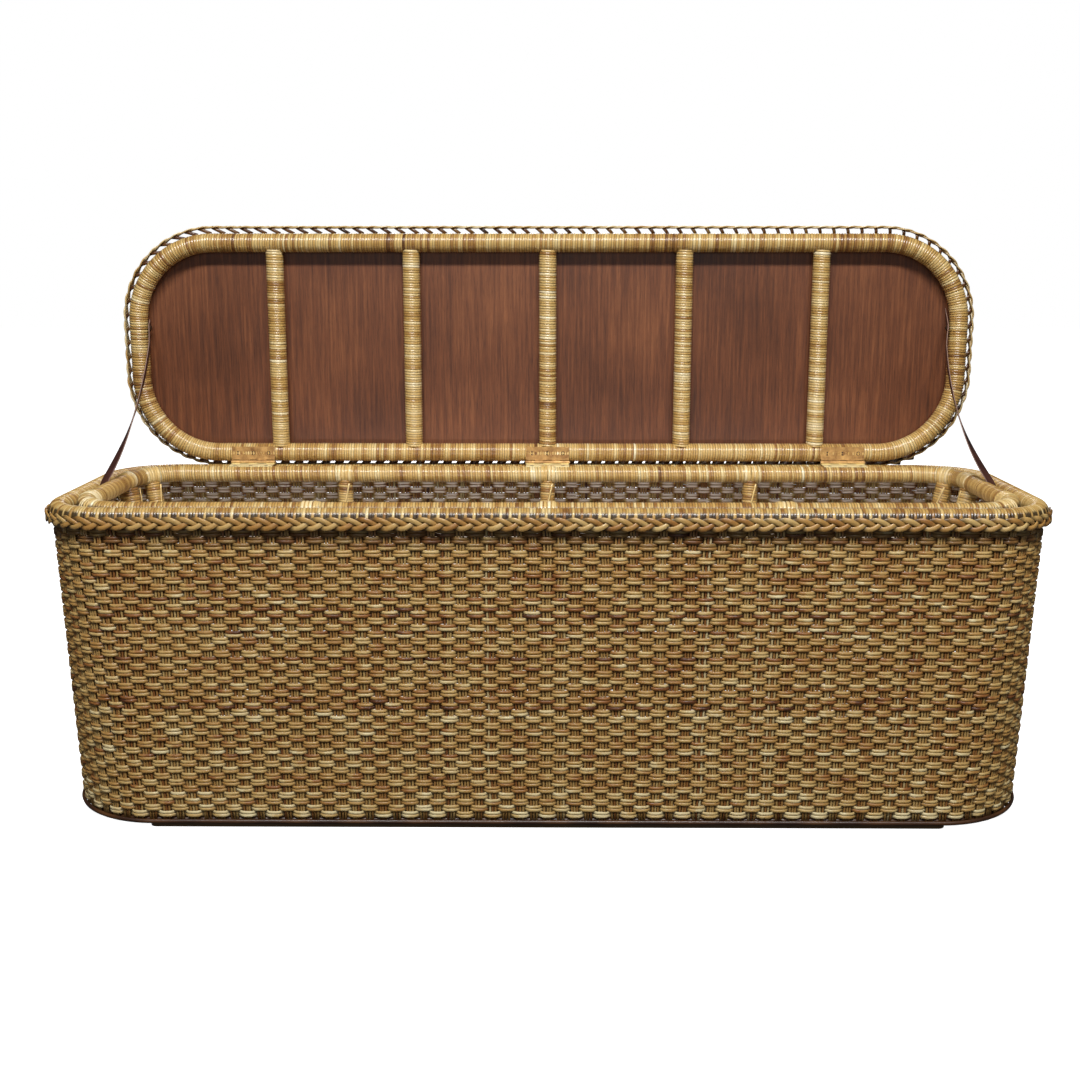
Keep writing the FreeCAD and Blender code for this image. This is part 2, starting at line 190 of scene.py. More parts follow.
def walk(loop, share):
    """Points round a rounded rectangle and the directions that they face, by share of its length.

    It starts at the middle of the front and goes round to the right, the back and the left.
    """
    corner = np.broadcast_to(loop.corner, np.shape(share)).astype(float)
    straight_x = loop.half_x - corner
    straight_y = loop.half_y - corner
    bend = corner * math.pi / 2
    lengths = [straight_x, bend, 2 * straight_y, bend, 2 * straight_x, bend, 2 * straight_y, bend, straight_x]
    left = np.mod(share, 1) * sum(lengths)
    x = np.zeros(np.shape(share))
    y = -straight_y
    angle = np.full(np.shape(share), -math.pi / 2)
    travelled = 0
    for index, length in enumerate(lengths):
        step = np.clip(left - travelled, 0, length)
        travelled = travelled + length
        if index % 2:
            angle = angle + step / corner
        else:
            heading = index * math.pi / 4
            x = x + math.cos(heading) * step
            y = y + math.sin(heading) * step
    facing = np.stack([np.cos(angle), np.sin(angle), np.zeros_like(angle)], axis=-1)
    points = np.stack([x, y + loop.centre_y, np.zeros_like(x)], axis=-1)
    return points + corner[..., None] * facing, facing


def ripple(share, size, waves, count):
    """Smooth random waves round a closed strand, one row of values for each of count strands."""
    total = np.zeros((count, len(share)))
    for _ in range(3):
        turns = rng.integers(waves // 3, waves, (count, 1))
        phase = rng.uniform(0, 2 * math.pi, (count, 1))
        total += np.sin(2 * math.pi * turns * share[None, :] + phase)
    return total * size / 3


class Cane:
    """Gathers strands into one mesh. Each point knows its place on its strand, its tone, and a value for painted
    shade and painted sheen on cane, and for wear on leather.
    """

    def __init__(self):
        self.points = []
        self.quads = []
        self.caps = []
        self.strand = []
        self.shade_sheen_wear = []
        self.count = 0

    def add(self, grid, closed=False, tone=0.5, shade_sheen_wear=0.0):
        """grid is strands x stations x sides x 3, or one strand. tone and the painted shade, sheen and wear value
        fit the same shape.
        """
        if grid.ndim == 3:
            grid = grid[None]
        strands, stations, sides, _ = grid.shape
        index = self.count + np.arange(strands * stations * sides).reshape(strands, stations, sides)
        first = index if closed else index[:, :-1]
        ahead = np.roll(index, -1, axis=1) if closed else index[:, 1:]
        quads = np.stack([first, np.roll(first, -1, 2), np.roll(ahead, -1, 2), ahead], axis=-1).reshape(-1, 4)
        corners = grid.reshape(-1, 3)[quads - self.count]
        away = corners - grid.reshape(-1, 3).mean(axis=0)
        inside_out = np.einsum("ij,ij->", away[:, 0], np.cross(away[:, 1], away[:, 2])) < 0
        if inside_out:
            quads = quads[:, ::-1]
        if not closed:
            ends = [index[:, 0, ::-1], index[:, -1]]
            self.caps += [end[:, ::-1] if inside_out else end for end in ends]
        step = np.linalg.norm(np.diff(grid.mean(axis=2), axis=1), axis=-1)
        along = np.concatenate([np.zeros((strands, 1)), np.cumsum(step, axis=1)], axis=1)
        along = np.broadcast_to(along[..., None], grid.shape[:3])
        girth = np.linalg.norm(grid[:, :1] - np.roll(grid[:, :1], 1, axis=2), axis=-1).cumsum(axis=2)
        girth = np.broadcast_to(girth, grid.shape[:3])
        tone = np.broadcast_to(tone, grid.shape[:3])
        self.strand.append(np.stack([along, girth, tone], axis=-1).reshape(-1, 3))
        self.shade_sheen_wear.append(np.broadcast_to(shade_sheen_wear, grid.shape[:3]).reshape(-1))
        self.points.append(grid.reshape(-1, 3))
        self.quads.append(quads)
        self.count += strands * stations * sides

    def mesh(self, name, on_lid):
        points = np.concatenate(self.points)
        if on_lid:
            points = opened(points)
        faces = [np.concatenate(self.quads)] + self.caps
        sizes = np.concatenate([np.full(len(face), face.shape[1]) for face in faces])
        mesh = bpy.data.meshes.new(name)
        mesh.vertices.add(len(points))
        mesh.vertices.foreach_set("co", points.astype(np.float32).ravel())
        mesh.loops.add(int(sizes.sum()))
        corners = np.concatenate([face.ravel() for face in faces])
        mesh.loops.foreach_set("vertex_index", corners.astype(np.int32))
        mesh.polygons.add(len(sizes))
        mesh.polygons.foreach_set("loop_start", np.concatenate([[0], np.cumsum(sizes)[:-1]]).astype(np.int32))
        mesh.polygons.foreach_set("use_smooth", np.ones(len(sizes), dtype=bool))
        mesh.update(calc_edges=True)
        strand = mesh.attributes.new("strand", "FLOAT_VECTOR", "POINT")
        strand.data.foreach_set("vector", np.concatenate(self.strand).astype(np.float32).ravel())
        shade_sheen_wear = mesh.attributes.new("shade_sheen_wear", "FLOAT", "POINT")
        shade_sheen_wear.data.foreach_set("value", np.concatenate(self.shade_sheen_wear).astype(np.float32))
        return mesh

    def piece(self, name, body, material, slot, nodes=()):
        """Makes the object, which replaces the nodes."""
        made = bpy.data.objects.new(name, self.mesh(name, body == "lid"))
        made.data.materials.append(material)
        bpy.context.scene.collection.objects.link(made)
        if body:
            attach(made, body)
        if nodes:
            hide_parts(*nodes)
        return made


def strand_grid(centres, facing, width, thickness, sides=6, closed=False, flat=1.0):
    """Oval strands along centre lines, broad side the facing way. A flat under 1 squares them off."""
    if closed:
        ahead = unit(np.roll(centres, -1, axis=-2) - np.roll(centres, 1, axis=-2))
    else:
        ahead = unit(np.gradient(centres, axis=-2))
    out = unit(facing - (facing * ahead).sum(axis=-1, keepdims=True) * ahead)
    across = np.cross(ahead, out)
    turn = np.arange(sides) * 2 * math.pi / sides
    wide = np.sign(np.cos(turn)) * np.abs(np.cos(turn)) ** flat
    thick = np.sign(np.sin(turn)) * np.abs(np.sin(turn)) ** flat
    width = np.broadcast_to(width, centres.shape[:-1])[..., None, None]
    thickness = np.broadcast_to(thickness, centres.shape[:-1])[..., None, None]
    ring = wide[:, None] * width / 2 * across[..., None, :]
    return centres[..., None, :] + ring + thick[:, None] * thickness / 2 * out[..., None, :]


# ---------------------------------------------------------------- materials

class Shader:
    """A material's node tree, with short calls for the nodes that it needs."""

    def __init__(self, name):
        self.material = bpy.data.materials.new(name)
        self.material.use_nodes = True
        self.tree = self.material.node_tree
        self.surface = self.tree.nodes["Principled BSDF"]

    def node(self, kind, settings=None, **inputs):
        made = self.tree.nodes.new(kind)
        for key, value in (settings or {}).items():
            setattr(made, key, value)
        for key, value in inputs.items():
            self.feed(made.inputs[key.replace("_", " ")], value)
        return made

    def feed(self, socket, value):
        if isinstance(value, bpy.types.NodeSocket):
            self.tree.links.new(value, socket)
        else:
            socket.default_value = value

    def attribute(self, name):
        return self.node("ShaderNodeAttribute", {"attribute_name": name})

    def math(self, operation, first, second, clamp=False):
        made = self.tree.nodes.new("ShaderNodeMath")
        made.operation = operation
        made.use_clamp = clamp
        self.feed(made.inputs[0], first)
        self.feed(made.inputs[1], second)
        return made.outputs[0]

    def mix(self, share, first, second, blend="MIX"):
        made = self.node("ShaderNodeMix", {"data_type": "RGBA", "blend_type": blend})
        self.feed(made.inputs[0], share)
        self.feed(made.inputs[6], first)
        self.feed(made.inputs[7], second)
        return made.outputs[2]

    def ramp(self, value, stops):
        made = self.node("ShaderNodeValToRGB")
        elements = made.color_ramp.elements
        while len(elements) < len(stops):
            elements.new(0.5)
        for element, (place, colour) in zip(elements, stops):
            element.position = place
            element.color = (*colour, 1)
        self.feed(made.inputs[0], value)
        return made.outputs[0]

    def noise(self, vector, scale, detail=3.0, roughness=0.55):
        made = self.node("ShaderNodeTexNoise", Vector=vector, Scale=scale, Detail=detail, Roughness=roughness)
        return made.outputs[0]

    def stretched(self, vector, scale):
        return self.node("ShaderNodeMapping", Vector=vector, Scale=scale).outputs[0]

    def place(self):
        return self.node("ShaderNodeTexCoord").outputs["Object"]

    def bump(self, height, strength, distance):
        made = self.node("ShaderNodeBump", Strength=strength, Distance=distance, Height=height)
        self.feed(self.surface.inputs["Normal"], made.outputs[0])

    def set(self, **inputs):
        for key, value in inputs.items():
            self.feed(self.surface.inputs[key.replace("_", " ")], value)
        return self.material


def rgb(red, green, blue):
    """A colour given as it looks on screen, 0 to 255, as the linear values that a shader takes."""
    levels = np.array([red, green, blue]) / 255
    return tuple(np.where(levels <= 0.04045, levels / 12.92, ((levels + 0.055) / 1.055) ** 2.4))


# Painted sheen: the pale colour painted on the weave's inner side, standing in for light and reflection there.
PAINTED_SHEEN_CANE = rgb(236, 222, 206)
# Painted highlight: the pale colour painted along the hinge knuckles.
HIGHLIGHT_BRASS = rgb(236, 222, 170)
WORN_LEATHER = rgb(176, 142, 124)


def cane_material(name, colours, dark, roughness, coat):
    """Lacquered cane: lengthwise fibres, strands of many tones, patches, and dark painted shade in the recesses.

    Where the painted-shade value is negative, the cane is painted pale: a painted sheen.
    """
    shader = Shader(name)
    strand = shader.attribute("strand").outputs["Vector"]
    tone = shader.node("ShaderNodeSeparateXYZ", Vector=strand).outputs[2]
    fibre = shader.noise(shader.stretched(strand, (60.0, 2600.0, 40.0)), 1.0)
    patch = shader.noise(shader.place(), 16.0, 4.0)
    speck = shader.noise(shader.stretched(strand, (400.0, 1500.0, 90.0)), 1.0, 2.0)
    fibre_tone = shader.math("MULTIPLY", shader.math("SUBTRACT", fibre, 0.5), 0.55)
    patch_tone = shader.math("MULTIPLY", shader.math("SUBTRACT", patch, 0.5), 0.25)
    value = shader.math("ADD", shader.math("ADD", tone, fibre_tone), patch_tone, clamp=True)
    steps = [(index / (len(colours) - 1), colour) for index, colour in enumerate(colours)]
    colour = shader.ramp(value, steps)
    worn = shader.ramp(speck, [(0.62, (0, 0, 0)), (0.74, (1, 1, 1))])
    colour = shader.mix(shader.math("MULTIPLY", worn, 0.45), colour, (*dark, 1))
    shade_sheen_wear = shader.attribute("shade_sheen_wear").outputs["Fac"]
    # Painted sheen where the value is negative, painted shade where it is positive.
    painted_sheen = shader.math("MULTIPLY", shade_sheen_wear, -1.0, clamp=True)
    colour = shader.mix(painted_sheen, colour, (*PAINTED_SHEEN_CANE, 1))
    colour = shader.mix(shader.math("MAXIMUM", shade_sheen_wear, 0.0), colour, (*dark, 1))
    shader.bump(fibre, 0.35, 0.0004)
    rough = shader.math("ADD", shader.math("MULTIPLY", speck, 0.25), roughness - 0.1)
    return shader.set(Base_Color=colour, Roughness=rough, Coat_Weight=coat, Coat_Roughness=0.18)


WOVEN = cane_material(
    "woven_cane",
    [rgb(84, 46, 22), rgb(146, 92, 44), rgb(178, 136, 74), rgb(198, 166, 104), rgb(222, 204, 156)],
    rgb(24, 14, 8), roughness=0.42, coat=0.3,
)
PLAITED = cane_material(
    "braid_cane",
    [rgb(74, 38, 16), rgb(134, 80, 36), rgb(176, 132, 70), rgb(200, 168, 106), rgb(232, 214, 170)],
    rgb(20, 12, 7), roughness=0.3, coat=0.5,
)
WRAPPED = cane_material(
    "wrapped_pole",
    [rgb(86, 50, 22), rgb(152, 106, 52), rgb(200, 160, 90), rgb(222, 192, 128), rgb(244, 228, 186)],
    rgb(34, 20, 10), roughness=0.3, coat=0.5,
)


def wood_material(name, colours, grain, roughness, coat):
    """Wood whose grain runs the way that grain is small."""
    shader = Shader(name)
    place = shader.place()
    streak = shader.noise(shader.stretched(place, grain), 1.0, 5.0, 0.6)
    fine = shader.noise(shader.stretched(place, [6 * step for step in grain]), 1.0, 3.0, 0.7)
    cloud = shader.noise(place, 5.0, 3.0)
    value = shader.math("ADD", shader.math("MULTIPLY", streak, 0.6), shader.math("MULTIPLY", cloud, 0.4))
    steps = [(0.3 + 0.4 * index / (len(colours) - 1), colour) for index, colour in enumerate(colours)]
    colour = shader.ramp(value, steps)
    pores = shader.ramp(fine, [(0.36, (1, 1, 1)), (0.5, (0, 0, 0))])
    colour = shader.mix(shader.math("MULTIPLY", pores, 0.4), colour, (*colours[0], 1), "MULTIPLY")
    shader.bump(fine, 0.2, 0.0005)
    rough = shader.math("ADD", shader.math("MULTIPLY", cloud, 0.3), roughness - 0.15)
    return shader.set(Base_Color=colour, Roughness=rough, Coat_Weight=coat, Coat_Roughness=0.25)


MAHOGANY = wood_material(
    "mahogany_ply", [rgb(62, 30, 12), rgb(104, 56, 27), rgb(140, 84, 46)], (260.0, 26.0, 9.0), 0.5, 0.1
)
PLYWOOD = wood_material(
    "plywood", [rgb(120, 86, 52), rgb(150, 112, 72), rgb(172, 134, 92)], (6.0, 120.0, 120.0), 0.6, 0.0
)
PALE_WOOD = wood_material(
    "pale_wood", [rgb(70, 52, 34), rgb(98, 76, 50), rgb(120, 96, 66)], (6.0, 160.0, 160.0), 0.6, 0.0
)


def brass_material(name, bright, tarnish, roughness, highlight_below=0.0):
    """Old brass: tarnish in patches, fine scratches. Below a height it is painted pale, a painted highlight along
    the knuckles.
    """
    shader = Shader(name)
    place = shader.place()
    patch = shader.ramp(shader.noise(place, 60.0, 5.0, 0.65), [(0.35, (0, 0, 0)), (0.68, (1, 1, 1))])
    scratch = shader.noise(shader.stretched(place, (60.0, 2500.0, 2500.0)), 1.0, 2.0)
    colour = shader.mix(patch, (*bright, 1), (*tarnish, 1))
    height = shader.node("ShaderNodeSeparateXYZ", Vector=place).outputs[2]
    # Painted highlight: below the given height the brass is painted pale.
    colour = shader.mix(shader.math("LESS_THAN", height, highlight_below), colour, (*HIGHLIGHT_BRASS, 1))
    shader.bump(scratch, 0.15, 0.0002)
    rough = shader.math("ADD", shader.math("MULTIPLY", patch, 0.25), roughness)
    return shader.set(Base_Color=colour, Metallic=0.35, Roughness=rough)


BRASS = brass_material("brass", rgb(204, 160, 96), rgb(132, 92, 50), 0.35, HINGE_POINT[2] - 0.0008)
DARK_BRASS = brass_material("brass_dark", rgb(74, 50, 30), rgb(28, 18, 12), 0.4)


def leather_material():
    """Dark brown strap leather with a fine pebbled grain and paler, worn edges."""
    shader = Shader("leather")
    place = shader.place()
    cells = shader.node("ShaderNodeTexVoronoi", {"feature": "DISTANCE_TO_EDGE"}, Vector=place, Scale=900.0)
    cloud = shader.noise(place, 40.0, 4.0)
    colour = shader.ramp(cloud, [(0.3, rgb(48, 24, 18)), (0.55, rgb(66, 34, 26)), (0.75, rgb(92, 56, 44))])
    edge = shader.math("MULTIPLY", shader.attribute("shade_sheen_wear").outputs["Fac"], 0.8)
    colour = shader.mix(edge, colour, (*WORN_LEATHER, 1))
    shader.bump(cells.outputs[0], 0.3, 0.0003)
    rough = shader.math("ADD", shader.math("MULTIPLY", cloud, 0.3), 0.3)
    return shader.set(Base_Color=colour, Roughness=rough, Coat_Weight=0.15)


LEATHER = leather_material()


# ---------------------------------------------------------------- weave

def weaver_wave(column):
    """How far a weaver passes in front of, 1, or behind, -1, the middle at a place counted in columns."""
    return np.tanh(2.4 * np.cos(math.pi * column)) / math.tanh(2.4)


def weaver_faces():
    """How far each of a weaver's six sides faces out, 1, or in, -1."""
    return np.sin(np.arange(6) * math.pi / 3)


def weaver_shade_and_sheen(wave, painted_sheen=1.0):
    """Painted shade and sheen for each side of a weaver: painted shade where it dips behind, and a pale painted
    sheen on its inner side.
    """
    face = weaver_faces()
    wave = wave[..., None]
    outer = np.clip(0.15 - 0.9 * wave, 0, 0.8)
    # On the inner side: painted sheen where the weaver lies behind, painted shade where it lies in front.
    inner = np.where(wave < 0, painted_sheen * wave, 0.6 * wave)
    return np.where(face > 0.1, outer, np.where(face < -0.1, inner, (outer + inner) / 2))


def wall_loop(height):
    """The weave's middle line round the wall at a height."""
    points = vertices("woven_wall")
    low, high = points[:, 2].min(), points[:, 2].max()
    top = rounded_loop(points[points[:, 2] > high - 0.02])
    foot = rounded_loop(points[points[:, 2] < low + 0.001])
    corner = foot.corner + (top.corner - foot.corner) * (height - low) / (high - low)
    return grown(Loop(foot.half_x, foot.half_y, corner, 0.0), -WALL_THICKNESS / 2)


wall_low, wall_high = (corner[2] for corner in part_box("woven_wall"))


def wall_points(column, height, columns):
    """Points of the weave's middle surface. Columns wander a little with height, as hand weaving does."""
    wander = 0.06 * np.sin(9.0 * height * 2 * math.pi + column * 0.37) * np.sin(column * 0.113 + 1.0)
    points, facing = walk(wall_loop(height), (column + wander) / columns)
    points[..., 2] = height
    return points, facing


def woven_wall():
    """The wall: weavers in bands of rows, stakes, and plain rods at the top and the foot."""
    length = loop_length(wall_loop((wall_low + wall_high) / 2))
    columns = 2 * round(length / COLUMN_PITCH / 2)
    weavers(columns)
    stakes(columns)
    border_rods(wall_low + 0.0032, 0.003, "foot_rod")
    border_rods(wall_high - 0.0045, 0.0028, "top_rod")


def weavers(columns):
    """Rows of paired weavers, over and under the stakes by turns. The rows under the rim are painted darker, a
    painted shadow.
    """
    first_row = wall_low + FIRST_ROW_RISE
    rows = round((wall_high - LAST_ROW_DROP - first_row) / ROW_PITCH)
    column = np.arange(columns * SAMPLES) / SAMPLES
    share = column / columns
    faces_out = weaver_faces() > -0.1
    for band in range(WEAVER_BANDS):
        cane = Cane()
        numbers = np.arange(rows * band // WEAVER_BANDS, rows * (band + 1) // WEAVER_BANDS)
        for side in (-1, 1):
            count = len(numbers)
            height = (first_row + (numbers + 0.5) * ROW_PITCH)[:, None]
            wave = weaver_wave(column)[None, :] * np.where(numbers % 2, -1, 1)[:, None]
            height = height + side * WEAVER_APART + ripple(share, 0.0003, 120, count)
            place, facing = wall_points(np.broadcast_to(column, height.shape), height, columns)
            depth = wave * WEAVE_DEPTH + ripple(share, 0.00025, 150, count)
            place = place + depth[..., None] * facing
            width = WEAVER_WIDTH * (1 + ripple(share, 0.04, 60, count))
            risen = (height - wall_low) / (wall_high - wall_low)
            tone = 0.62 - 0.14 * risen + rng.normal(0, 0.14, (count, 1)) + ripple(share, 0.24, 40, count)
            tone = tone + np.repeat(rng.normal(0, 0.07, (count, columns)), SAMPLES, axis=1)
            grid = strand_grid(place, facing, width, WEAVER_THICKNESS, closed=True)
            # Painted shadow under the rim, on the faces that face out.
            shade = 0.45 * np.clip((height - wall_high + SHADE_DEPTH) / SHADE_FADE, 0, 1)
            shade_sheen_wear = weaver_shade_and_sheen(wave)
            shade_sheen_wear = np.where(faces_out, np.maximum(shade_sheen_wear, shade[..., None]), shade_sheen_wear)
            cane.add(grid, True, tone[..., None], shade_sheen_wear)
        cane.piece(f"weavers_{band + 1}", "trunk", WOVEN, "woven_cane", ["woven_wall"] if band == 0 else [])


def stakes(columns):
    """Three thin upright stakes to a column, from the foot to the rim."""
    cane = Cane()
    height = np.linspace(wall_low + 0.002, wall_high - 0.002, 24)[None, :]
    for side in (-1, 0, 1):
        place_in_row = np.arange(columns)[:, None] + side * STAKE_APART / COLUMN_PITCH
        place_in_row = place_in_row + rng.normal(0, 0.012, (columns, 1))
        where, facing = wall_points(place_in_row + 0 * height, height + 0 * place_in_row, columns)
        grid = strand_grid(where, facing, STAKE_WIDTH, STAKE_THICKNESS)
        tone = 0.5 + rng.normal(0, 0.16, (columns, 1, 1))
        # Painted shade: the stakes, which lie behind the weavers, are painted darker.
        cane.add(grid, False, tone, 0.2)
    cane.piece("stakes", "trunk", WOVEN, "woven_cane")


def border_rods(height, radius, name):
    """A rod round the outside and the inside of the wall, which holds the stakes' ends. It is dark, partly in its
    own colour and partly as painted shadow.
    """
    rods = Cane()
    share = np.arange(900) / 900
    for side in (-1, 1):
        offset = side * (STAKE_WIDTH / 2 + radius * 0.7)
        centres, facing = walk(grown(wall_loop(height), offset), share)
        centres[:, 2] = height
        grid = strand_grid(centres, facing, 2 * radius, 2 * radius * 0.8, 8, True)
        # Dark tone and painted shadow on the rods.
        rods.add(grid, True, 0.1 + ripple(share, 0.15, 60, 1)[0][:, None], 0.7)
    rods.piece(name, "trunk", WOVEN, "woven_cane")


woven_wall()


# ---------------------------------------------------------------- cane-wrapped poles

def wrapped_grid(centres, side, up, radius, lift, sides):
    """Rings of points round a pole, a little tilted, since cane winds round it at a slant."""
    ahead = unit(np.gradient(centres, axis=0))
    turn = np.arange(sides) * 2 * math.pi / sides
    size = (radius + lift)[:, None, None]
    grid = centres[:, None, :] + size * np.cos(turn)[:, None] * side[:, None, :]
    grid = grid + size * np.sin(turn)[:, None] * up[:, None, :]
    slant = WRAP_PITCH * 0.25 * np.sin(turn + 0.6)
    return grid + slant[:, None] * ahead[:, None, :]


def wrap_stations(length):
    """Where the stations of a wrapping lie, as shares of the pole, with the lift, painted shade and tone at each.
    """
    wraps = max(3, round(length / WRAP_PITCH))
    edges = np.arange(wraps) + rng.uniform(-0.16, 0.16, wraps)
    edges[0] = 0
    widths = np.diff(np.append(edges, wraps))
    tone = 0.5 + rng.normal(0, 0.14, wraps)
    tone = tone + 0.07 * np.sin(np.arange(wraps) * WRAP_PITCH * 23 + rng.uniform(0, 6))
    share, lift, shade_sheen_wear, tones = [], [], [], []
    for part, bump, dark in WRAP_STATIONS:
        share.append((edges + widths * part) / wraps)
        lift.append(np.full(wraps, bump) * np.where(part == 0, rng.uniform(0.6, 1.3, wraps), 1))
        shade_sheen_wear.append(np.full(wraps, dark) * np.where(part == 0, rng.uniform(0.5, 1.0, wraps), 1))
        tones.append(tone)
    return [np.stack(part, axis=1).ravel() for part in (share, lift, shade_sheen_wear, tones)]


def wrapped_ring(name, node, body, saddles=(), sides=16, shaded_canes=0, shade_up_to=0):
    """A ring of pole wrapped in cane. At each saddle point, a post's top, the canes stand out.

    Of each three canes, as many as given are painted dark on the lower outer side, up to the given degrees: a
    painted shadow under the ring and in the gap beside it.
    """
    loop, height, radius = ring_of(node)
    share, lift, shade_sheen_wear, tone = wrap_stations(loop_length(loop))
    centres, side = walk(loop, share)
    centres[:, 2] = height
    for saddle in saddles:
        near = np.linalg.norm(centres[:, :2] - saddle[:2], axis=1) < SADDLE_REACH
        lift = lift + near * SADDLE_LIFT
        tone = tone + near * 0.12
    grid = wrapped_grid(centres, side, np.broadcast_to(UP, side.shape), radius, lift, sides)
    # Painted shade in the grooves between wraps.
    shade_sheen_wear = np.repeat(shade_sheen_wear[:, None] * 0.85, sides, axis=1)
    turn = np.arange(sides) * 360 / sides
    # Painted shadow on the lower outer side of the ring.
    shaded_side = np.clip((shade_up_to - turn) / 18, 0, 1) + (turn > 300)
    shaded_cane = (np.arange(len(share)) // len(WRAP_STATIONS)) % 3 < shaded_canes
    shade_sheen_wear = np.maximum(shade_sheen_wear, 0.92 * shaded_cane[:, None] * shaded_side[None, :])
    cane = Cane()
    cane.add(grid, True, tone[:, None], shade_sheen_wear)
    cane.piece(name, body, WRAPPED, "wrapped_pole", [node])


def post_bindings(posts):
    """Pale canes bound over the inner ring at each post, and one slantwise down the post's front and back."""
    loop, ring_height, ring_radius = ring_of("inner_rim_ring")
    cane = Cane()
    turn = np.linspace(math.radians(-50), math.radians(230), 17)
    for post in posts:
        foot, top, radius = pole_of(post, 2)
        share = nearest_share(loop, top)
        for offset in BINDING_PLACES:
            centre, side = walk(loop, np.array(share + offset / loop_length(loop)))
            centre[2] = ring_height
            out = np.cos(turn)[:, None] * side + np.sin(turn)[:, None] * UP
            path = centre + (ring_radius + 0.0009) * out
            grid = strand_grid(path, out, BINDING_WIDTH, BINDING_THICKNESS)
            cane.add(grid, False, 0.75 + rng.normal(0, 0.12))
        centre, side = walk(loop, np.array(share))
        down = unit(foot - top)
        fall = np.linspace(0.004, 0.070, 9)[:, None]
        for turned_to in (1, -1):
            out = unit(turned_to * side - (turned_to * side @ down) * down)
            across = np.cross(down, out) * np.linspace(-0.007, 0.007, 9)[:, None]
            path = top + down * fall + out * (radius * 0.96 + 0.0008) + across
            facing = np.broadcast_to(out, path.shape)
            cane.add(strand_grid(path, facing, POST_CANE_WIDTH, POST_CANE_THICKNESS), False, 0.7)
    cane.piece("post_bindings", "trunk", WRAPPED, "wrapped_pole")


def nearest_share(loop, point):
    """The share of a loop's length at which it comes nearest to a point."""
    share = np.linspace(0, 1, 4000)
    points, _ = walk(loop, share)
    return share[np.argmin(np.linalg.norm(points[:, :2] - point[:2], axis=1))]


def wrapped_pole(name, node, body, axis, paler=0.0):
    """A straight pole wrapped in cane."""
    first, second, radius = pole_of(node, axis)
    share, lift, shade_sheen_wear, tone = wrap_stations(np.linalg.norm(second - first))
    centres = first + (second - first) * share[:, None]
    ahead = unit(second - first)
    across = unit(np.cross(ahead, [0.0, 1.0, 0.01]))
    side = np.broadcast_to(across, centres.shape)
    up = np.broadcast_to(np.cross(ahead, across), centres.shape)
    grid = wrapped_grid(centres, side, up, radius, lift, 12)
    cane = Cane()
    # Painted shade in the grooves between wraps.
    cane.add(grid, False, tone[:, None] + paler, shade_sheen_wear[:, None] * 0.85)
    cane.piece(name, body, WRAPPED, "wrapped_pole", [node])


posts = sorted(node for node in frame["nodes"] if node.startswith("post_"))
for post in posts:
    wrapped_pole(f"{post}_cane", post, "trunk", 2)
wrapped_ring("outer_rim_cane", "outer_rim_ring", "trunk", sides=24, shaded_canes=2, shade_up_to=48)
tops = [pole_of(post, 2)[1] for post in posts]
wrapped_ring("inner_rim_cane", "inner_rim_ring", "trunk", tops, shaded_canes=3, shade_up_to=42)
post_bindings(posts)
wrapped_ring("base_ring_cane", "base_ring", "trunk", sides=8)
wrapped_ring("lid_ring_cane", "lid_ring", "lid")
# The crossbars' cane is painted paler, partly for its lighter colour and partly as painted highlight.
for node in sorted(node for node in frame["nodes"] if node.startswith("lid_crossbar_")):
    wrapped_pole(f"{node}_cane", node, "lid", 1, paler=0.1)


# ---------------------------------------------------------------- plaits

def plait(cane, node, period, width, thickness, tone, under_shade):
    """Three flat canes plaited along a CAD band. Gives the plait's line, how many periods, and its height."""
    points = vertices(node)
    low, high = points[:, 2].min(), points[:, 2].max()
    outer = rounded_loop(points)
    straight = np.abs(points[:, 0]) < outer.half_x - outer.corner * 0.95
    inner = np.abs(points[straight, 1] - outer.centre_y).min()
    band = outer.half_y - inner
    loop = grown(outer, -band / 2)
    periods = round(loop_length(loop) / period)
    share = np.arange(periods * PLAIT_STATIONS) / (periods * PLAIT_STATIONS)
    rise = (high - low - width) / 2
    depth = (band - thickness) / 2
    for strand in range(3):
        turn = 2 * math.pi * (share * periods + strand / 3)
        place, facing = walk(loop, share)
        place[:, 2] = (low + high) / 2 + rise * np.sin(turn) + ripple(share, 0.0003, 90, 1)[0]
        over = -np.sin(2 * turn)
        place = place + (depth * over)[:, None] * facing
        size = width * (1 + ripple(share, 0.08, 90, 1)[0])
        shades = tone + ripple(share, 0.2, 30, 1)[0] + rng.normal(0, 0.05)
        # Painted shade where a strand passes under the others.
        shade_sheen_wear = np.clip(-under_shade * over, 0, 1)
        grid = strand_grid(place, facing, size, thickness, 8, True, 0.7)
        cane.add(grid, True, shades[:, None], shade_sheen_wear[:, None])
    return loop, periods, low, high


def rim_braid():
    cane = Cane()
    plait(cane, "rim_braid", RIM_PLAIT_PERIOD, 0.0064, 0.0021, 0.5, 0.8)
    cane.piece("rim_plait", "trunk", PLAITED, "braid_cane", ["rim_braid"])


